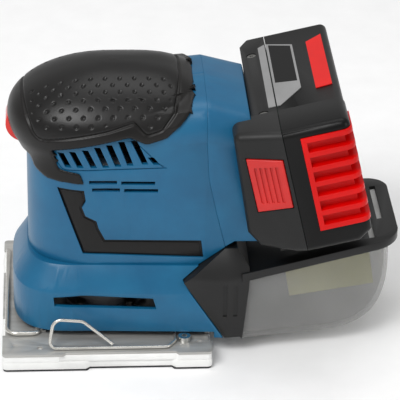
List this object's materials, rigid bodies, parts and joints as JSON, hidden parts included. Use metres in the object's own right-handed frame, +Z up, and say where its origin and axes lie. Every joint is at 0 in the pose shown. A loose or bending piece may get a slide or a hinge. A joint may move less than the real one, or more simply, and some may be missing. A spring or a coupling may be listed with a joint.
{
  "type": "palm sander",
  "caption": "Cordless palm-grip orbital finishing sander with a clamped rectangular platen, slide-on battery pack and a translucent dust box under it.",
  "frame": {"origin": "centre of the sanding face, the underside of the pad", "axes": "+Z up, +X to the rear, where the battery and dust box are, +Y to the far side"},
  "size_m": [0.1925, 0.1167, 0.1389],
  "materials": {
    "housing_blue": "moulded, fine satin",
    "shroud_blue": "moulded, fine satin",
    "panel_blue": "smooth",
    "soft_rubber": "soft touch",
    "grip_rubber": "soft touch, dimpled",
    "screw_steel": "zinc plated",
    "bright_steel": "bright",
    "brass": "plain",
    "black_plastic": "moulded",
    "board_green": "solder mask",
    "aluminium": "plain",
    "zinc_steel": "zinc plated",
    "dark_magnet": "sintered",
    "bearing_steel": "ground",
    "dark_steel": "laminated",
    "cast_zinc": "die cast",
    "hook_nylon": "hook pile",
    "pad_foam": "closed-cell foam",
    "pad_plastic": "moulded",
    "stamped_steel": "stamped, satin",
    "spring_wire": "drawn wire",
    "switch_red": "gloss",
    "cover_grey": "fine satin",
    "case_black": "fine satin",
    "rib_red": "gloss",
    "label_grey": "foil label",
    "inlay_red": "inlay",
    "cell_wrap": "shrink wrap",
    "button_red": "satin",
    "adapter_black": "fine satin",
    "lid_black": "satin",
    "smoked_clear": "smoked, satin outside",
    "filter_yellow": "moulded",
    "filter_paper": "pleated",
    "fleece_grey": "fleece"
  },
  "bodies": {
    "housing": {"housing_left": "housing_blue", "housing_right": "housing_blue", "side_insert_left": "soft_rubber", "side_insert_right": "soft_rubber", "label_plate_left": "panel_blue", "label_plate_right": "panel_blue", "housing_screws": "screw_steel", "grip_band": "soft_rubber", "grip_insert": "grip_rubber", "foot_shroud": "shroud_blue", "foot_screws": "screw_steel", "rear_housing": "housing_blue", "contact_blades": "brass", "terminal_block": "black_plastic", "switch_body": "black_plastic", "control_board": "board_green", "board_capacitor": "aluminium", "motor_can": "zinc_steel", "magnets": "dark_magnet", "brushes": "dark_magnet", "motor_end_cap": "black_plastic", "upper_bearing": "bearing_steel", "lower_bearing": "bearing_steel", "bearing_bridge": "black_plastic", "oscillation_feet": "soft_rubber"},
    "rotor": {"motor_shaft": "bearing_steel", "rotor_core": "dark_steel", "commutator": "brass", "counterweight": "cast_zinc", "fan": "black_plastic"},
    "platen": {"hook_layer": "hook_nylon", "foam_pad": "pad_foam", "pad_base": "pad_plastic", "steel_plate": "stamped_steel", "platen_hub": "cast_zinc", "hub_screws": "screw_steel", "eccentric_bearing": "bearing_steel", "platen_screws": "bright_steel", "wire_saddles": "stamped_steel"},
    "lever_near": {"clamp_lever_near": "spring_wire"},
    "lever_far": {"clamp_lever_far": "spring_wire"},
    "bar_front": {"clamp_bar_front": "spring_wire"},
    "bar_rear": {"clamp_bar_rear": "spring_wire"},
    "switch": {"switch_rocker": "switch_red"},
    "battery": {"battery_cover": "cover_grey", "battery_case": "case_black", "battery_ribs": "rib_red", "battery_screws": "screw_steel", "battery_label": "label_grey", "battery_inlay": "inlay_red", "battery_cells": "cell_wrap", "cell_divider": "black_plastic"},
    "button": {"release_button": "button_red"},
    "dust_box": {"dust_adapter": "adapter_black", "dust_lid": "lid_black", "filter_frame": "filter_yellow", "filter_pleats": "filter_paper", "outlet_fleece": "fleece_grey"},
    "container": {"dust_container": "smoked_clear"}
  },
  "joints": [
    {"name": "rotor_spin", "type": "hinge", "parent": "housing", "child": "rotor", "pos_m": [-0.0008, 0, 0.05], "axis": [0, 0, 1], "continuous": true},
    {"name": "platen_orbit", "type": "hinge", "parent": "rotor", "child": "platen", "pos_m": [0, 0, 0.0135], "axis": [0, 0, 1], "continuous": true},
    {"name": "lever_near_lift", "type": "hinge", "parent": "platen", "child": "lever_near", "pos_m": [0.033, -0.031, 0.0105], "axis": [0, 1, 0], "range_deg": [0, 36]},
    {"name": "lever_far_lift", "type": "hinge", "parent": "platen", "child": "lever_far", "pos_m": [-0.033, 0.031, 0.0105], "axis": [0, -1, 0], "range_deg": [0, 36]},
    {"name": "bar_rear_lift", "type": "hinge", "parent": "platen", "child": "bar_rear", "pos_m": [0.033, 0.031, 0.0108], "axis": [0, -1, 0], "range_deg": [0, 18]},
    {"name": "bar_front_lift", "type": "hinge", "parent": "platen", "child": "bar_front", "pos_m": [-0.033, -0.031, 0.0108], "axis": [0, 1, 0], "range_deg": [0, 18]},
    {"name": "switch_rock", "type": "hinge", "parent": "housing", "child": "switch", "pos_m": [-0.038, 0, 0.1084], "axis": [0, 1, 0], "range_deg": [0, 12]},
    {"name": "battery_slide", "type": "slide", "parent": "housing", "child": "battery", "axis": [0, -1, 0], "range_m": [0, 0.1]},
    {"name": "button_press", "type": "slide", "parent": "battery", "child": "button", "axis": [0.3332, 0.9397, 0.0769], "range_m": [0, 0.0025], "stiffness_N_per_m": 600},
    {"name": "dust_box_slide", "type": "slide", "parent": "housing", "child": "dust_box", "axis": [1, 0, 0], "range_m": [0, 0.08]},
    {"name": "container_drop", "type": "slide", "parent": "dust_box", "child": "container", "axis": [0, 0, -1], "range_m": [0, 0.03]}
  ],
  "couplings": [
    {"joint": "platen_orbit", "follows": "rotor_spin", "ratio": -1},
    {"joint": "bar_rear_lift", "follows": "lever_near_lift", "ratio": 0.5},
    {"joint": "bar_front_lift", "follows": "lever_far_lift", "ratio": 0.5}
  ]
}
